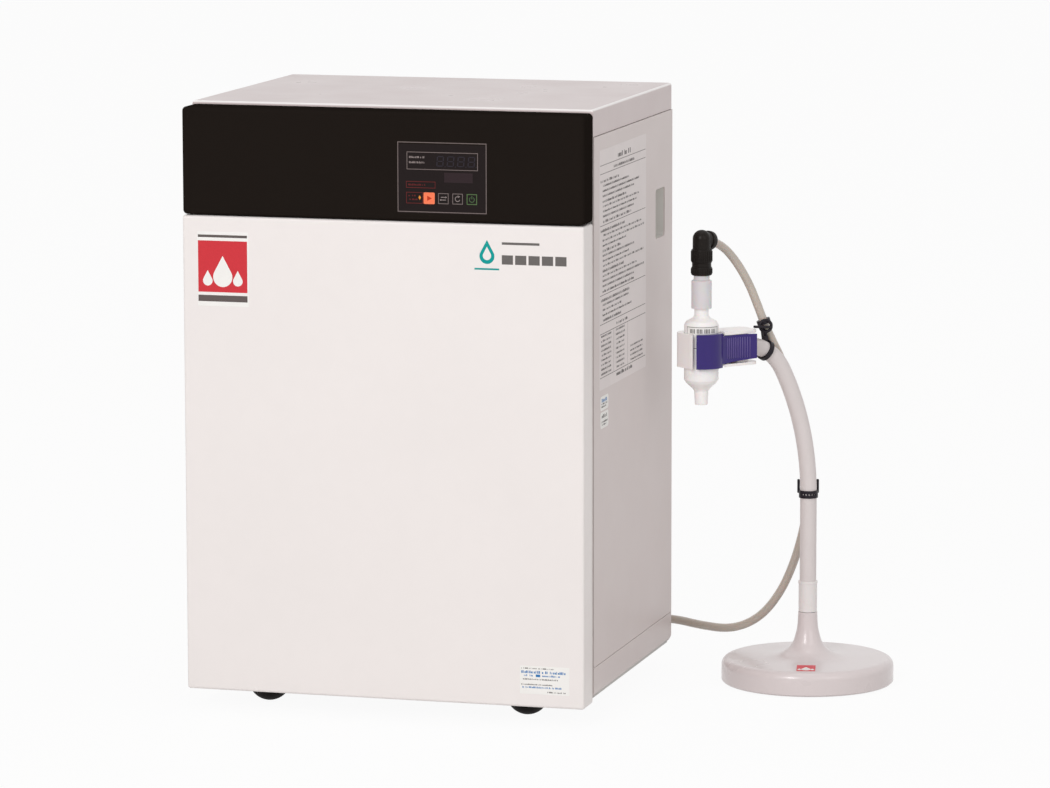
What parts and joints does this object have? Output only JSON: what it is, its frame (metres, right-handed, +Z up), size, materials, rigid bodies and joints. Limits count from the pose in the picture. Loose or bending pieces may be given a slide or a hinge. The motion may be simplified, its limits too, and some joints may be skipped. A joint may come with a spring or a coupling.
{
  "type": "laboratory water purifier with dispensing stand",
  "caption": "Bench water purifier: upright white cabinet with a black control panel and hinged door, and a round-footed stand whose gooseneck arm holds a final filter fed by a hose.",
  "frame": {"origin": "centre of the whole object's outline on the bench, cords' free run left out", "axes": "+Z up; the door and control panel look along -Y; the stand is at +X"},
  "size_m": [0.604, 0.357, 0.56],
  "materials": {
    "casing_paint": "satin",
    "cover_paint": "satin",
    "door_paint": "satin",
    "panel_black": "gloss",
    "overlay_film": "gloss",
    "key_orange": "satin",
    "key_black": "satin",
    "board_green": "satin",
    "display_dark": "gloss",
    "steel": "satin",
    "magnet_block": "matte",
    "liner_plastic": "matte",
    "cartridge_white": "satin",
    "cartridge_blue": "satin",
    "head_grey": "satin",
    "brass": "satin",
    "coil_black": "matte",
    "fitting_white": "satin",
    "knob_blue": "satin",
    "tube_blue": "satin",
    "tube_clear": "satin",
    "supply_case": "satin",
    "socket_black": "matte",
    "wire_black": "matte",
    "foot_rubber": "matte",
    "stand_paint": "satin",
    "collar_plastic": "satin",
    "arm_sleeve": "satin",
    "clamp_white": "satin",
    "clamp_purple": "satin",
    "filter_white": "satin",
    "membrane": "matte",
    "adapter_frost": "satin",
    "elbow_black": "satin",
    "strap_black": "satin"
  },
  "bodies": {
    "cabinet": {"base_tray": "casing_paint", "side_panel_left": "casing_paint", "side_panel_right": "casing_paint", "grip_cups": "magnet_block", "top_cover": "cover_paint", "rear_panel": "casing_paint", "front_frame": "casing_paint", "divider_shelf": "steel", "control_panel_shell": "panel_black", "panel_overlay": "overlay_film", "control_board": "board_green", "display_module": "display_dark", "hinge_brackets": "steel", "door_catch": "magnet_block", "pretreatment_head": "head_grey", "deionizer_head": "head_grey", "feed_inlet": "brass", "solenoid_valve_body": "brass", "solenoid_coil": "coil_black", "valve_spring": "steel", "pressure_regulator": "fitting_white", "resistivity_cell": "fitting_white", "product_outlet": "fitting_white", "internal_tubes": "tube_blue", "power_supply": "supply_case", "mains_inlet": "socket_black", "breaker_body": "socket_black", "wire_loom": "wire_black", "rear_screws": "steel", "feet": "foot_rubber", "stand_base": "stand_paint", "stand_pad": "foot_rubber", "hose_lower": "tube_clear"},
    "door": {"door_shell": "door_paint", "door_liner": "liner_plastic", "striker_plate": "steel"},
    "start_key": {"start_key": "key_orange"},
    "unit_key": {"unit_key": "key_black"},
    "clear_key": {"clear_key": "key_black"},
    "power_key": {"power_key": "key_black"},
    "breaker_rocker": {"breaker_rocker": "socket_black"},
    "regulator_knob": {"regulator_knob": "knob_blue"},
    "valve_plunger": {"valve_plunger": "steel"},
    "pretreatment_cartridge": {"pretreatment_cartridge": "cartridge_white"},
    "deionizer_cartridge": {"deionizer_cartridge": "cartridge_blue"},
    "arm": {"arm_collar": "collar_plastic", "gooseneck_sleeve": "arm_sleeve", "gooseneck_core": "steel", "clamp_body": "clamp_white", "clamp_pin": "steel", "clamp_spring": "steel", "filter_capsule": "filter_white", "filter_membrane": "membrane", "filter_adapter": "adapter_frost", "elbow_body": "elbow_black", "elbow_nuts": "elbow_black", "hose_upper": "tube_clear", "lower_strap": "strap_black", "upper_strap": "strap_black"},
    "clamp_lever": {"clamp_lever": "clamp_purple"}
  },
  "joints": [
    {"name": "door_hinge", "type": "hinge", "parent": "cabinet", "child": "door", "pos_m": [-0.2945, -0.155, 0.23875], "axis": [0, 0, -1], "range_deg": [0, 90]},
    {"name": "start_key_press", "type": "slide", "parent": "cabinet", "child": "start_key", "axis": [0, 1, 0], "range_m": [0, 0.0005], "stiffness_N_per_m": 1200, "springref_m": -0.0004},
    {"name": "unit_key_press", "type": "slide", "parent": "cabinet", "child": "unit_key", "axis": [0, 1, 0], "range_m": [0, 0.0005], "stiffness_N_per_m": 1200, "springref_m": -0.0004},
    {"name": "clear_key_press", "type": "slide", "parent": "cabinet", "child": "clear_key", "axis": [0, 1, 0], "range_m": [0, 0.0005], "stiffness_N_per_m": 1200, "springref_m": -0.0004},
    {"name": "power_key_press", "type": "slide", "parent": "cabinet", "child": "power_key", "axis": [0, 1, 0], "range_m": [0, 0.0005], "stiffness_N_per_m": 1200, "springref_m": -0.0004},
    {"name": "breaker_tip", "type": "hinge", "parent": "cabinet", "child": "breaker_rocker", "pos_m": [-0.234, 0.14, 0.486], "axis": [1, 0, 0], "range_deg": [0, 24]},
    {"name": "regulator_turn", "type": "hinge", "parent": "cabinet", "child": "regulator_knob", "pos_m": [0.043, -0.0655, 0.33], "axis": [0, 1, 0], "range_deg": [-150, 150]},
    {"name": "valve_lift", "type": "slide", "parent": "cabinet", "child": "valve_plunger", "axis": [0, 0, 1], "range_m": [0, 0.003], "stiffness_N_per_m": 400, "springref_m": -0.002, "deforming": ["valve_spring"]},
    {"name": "pretreatment_twist", "type": "hinge", "parent": "cabinet", "child": "pretreatment_cartridge", "pos_m": [-0.04, -0.0285, 0.25], "axis": [0, 0, 1], "range_deg": [0, 90]},
    {"name": "deionizer_twist", "type": "hinge", "parent": "cabinet", "child": "deionizer_cartridge", "pos_m": [-0.177, -0.0285, 0.25], "axis": [0, 0, 1], "range_deg": [0, 90]},
    {"name": "arm_swivel", "type": "hinge", "parent": "cabinet", "child": "arm", "pos_m": [0.221, 0.0975, 0.05], "axis": [0, 0, 1], "range_deg": [-30, 75], "deforming": ["hose_lower"]},
    {"name": "clamp_squeeze", "type": "hinge", "parent": "arm", "child": "clamp_lever", "pos_m": [0.16078, 0.01716, 0.32586], "axis": [0, 0, 1], "range_deg": [0, 12], "stiffness_Nm_per_rad": 0.4, "springref_deg": -2.86}
  ]
}
